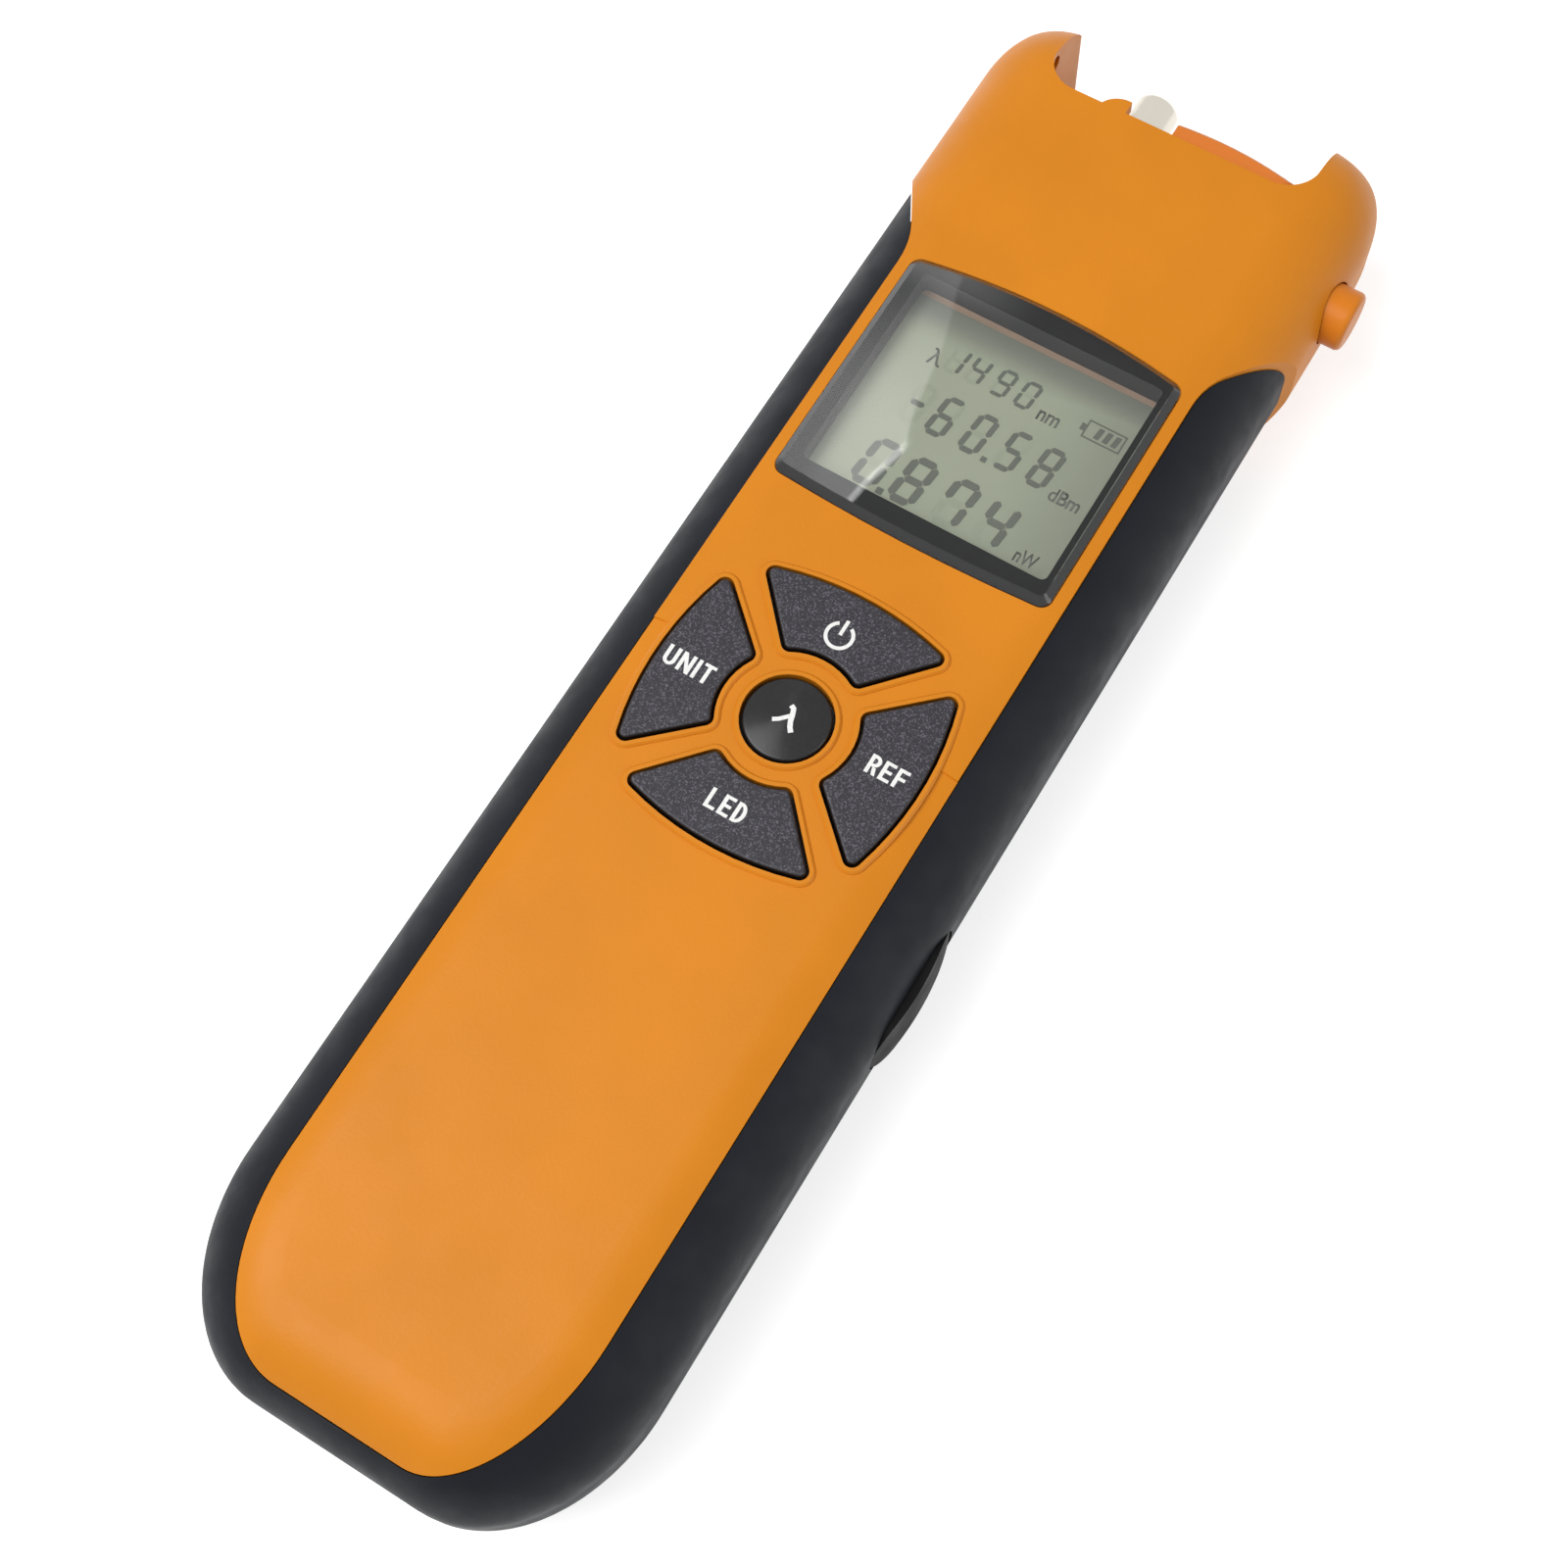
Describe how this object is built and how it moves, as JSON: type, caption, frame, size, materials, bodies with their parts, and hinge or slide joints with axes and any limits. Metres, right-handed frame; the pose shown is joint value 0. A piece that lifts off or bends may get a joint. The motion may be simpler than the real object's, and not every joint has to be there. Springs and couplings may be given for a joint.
{
  "type": "optical power meter",
  "caption": "Handheld fibre-optic power meter with soft grip jacket, display window, ring of keys, detector port and lamp between end horns, and a battery door in its back.",
  "frame": {"origin": "centre of the flat back, on the plane the meter lies on", "axes": "+X to the right of the face, +Y towards the connector end, +Z out of the face"},
  "size_m": [0.0574, 0.1956, 0.0269],
  "materials": {
    "shell_orange": "satin moulded ABS",
    "plate_orange": "satin moulded ABS",
    "button_orange": "satin moulded ABS",
    "door_orange": "satin moulded ABS",
    "grip_rubber": "soft-touch, fine texture",
    "cover_rubber": "soft, smooth",
    "window_clear": "clear, glossy",
    "gasket_black": "matt foam",
    "bezel_black": "matt",
    "lcd": "grey-green reflective display",
    "light_guide": "milky",
    "strip_rubber": "striped elastomer",
    "key_grey": "matt, lightly speckled",
    "key_black": "glossy",
    "switch_body": "matt",
    "board_green": "solder mask",
    "chip_black": "matt",
    "socket_steel": "tinned",
    "adapter_nickel": "nickel plated",
    "holder_black": "matt",
    "diode_can": "plated can",
    "lamp_clear": "water-clear epoxy",
    "cell_wrap": null,
    "contact_steel": "nickel plated spring steel",
    "screw_steel": "zinc plated"
  },
  "bodies": {
    "case": {"battery_left": "cell_wrap", "battery_right": "cell_wrap", "board_chips": "chip_black", "board_screws": "screw_steel", "bridge_contact": "contact_steel", "case_screws": "screw_steel", "contact_strips": "strip_rubber", "detector_adapter": "adapter_nickel", "detector_holder": "holder_black", "display_bezel": "bezel_black", "display_window": "window_clear", "end_plate": "plate_orange", "front_shell": "shell_orange", "grip_jacket": "grip_rubber", "holder_screws": "screw_steel", "key_switches": "switch_body", "lcd_glass": "lcd", "light_guide": "light_guide", "main_board": "board_green", "negative_contact": "contact_steel", "photodiode": "diode_can", "positive_contact": "contact_steel", "rear_shell": "shell_orange", "side_board": "board_green", "side_switch": "switch_body", "torch_lamp": "lamp_clear", "usb_socket": "socket_steel", "window_gasket": "gasket_black"},
    "key_power": {"key_power": "key_grey"},
    "key_unit": {"key_unit": "key_grey"},
    "key_led": {"key_led": "key_grey"},
    "key_ref": {"key_ref": "key_grey"},
    "key_wavelength": {"key_wavelength": "key_black"},
    "side_button": {"side_button": "button_orange"},
    "battery_door": {"battery_door": "door_orange"},
    "port_cover": {"port_cover": "cover_rubber"}
  },
  "joints": [
    {"name": "key_power_press", "type": "slide", "parent": "case", "child": "key_power", "axis": [0, 0, -1], "range_m": [0, 0.0008], "stiffness_N_per_m": 900},
    {"name": "key_unit_press", "type": "slide", "parent": "case", "child": "key_unit", "axis": [0, 0, -1], "range_m": [0, 0.0008], "stiffness_N_per_m": 900},
    {"name": "key_led_press", "type": "slide", "parent": "case", "child": "key_led", "axis": [0, 0, -1], "range_m": [0, 0.0008], "stiffness_N_per_m": 900},
    {"name": "key_ref_press", "type": "slide", "parent": "case", "child": "key_ref", "axis": [0, 0, -1], "range_m": [0, 0.0008], "stiffness_N_per_m": 900},
    {"name": "key_wavelength_press", "type": "slide", "parent": "case", "child": "key_wavelength", "axis": [0, 0, -1], "range_m": [0, 0.0008], "stiffness_N_per_m": 900},
    {"name": "side_button_press", "type": "slide", "parent": "case", "child": "side_button", "axis": [-1, 0, 0], "range_m": [0, 0.0015], "stiffness_N_per_m": 500},
    {"name": "battery_door_swing", "type": "hinge", "parent": "case", "child": "battery_door", "pos_m": [0, -0.08495, 0], "axis": [-1, 0, 0], "range_deg": [0, 75]},
    {"name": "port_cover_pull", "type": "slide", "parent": "case", "child": "port_cover", "axis": [1, 0, 0], "range_m": [0, 0.006]}
  ]
}
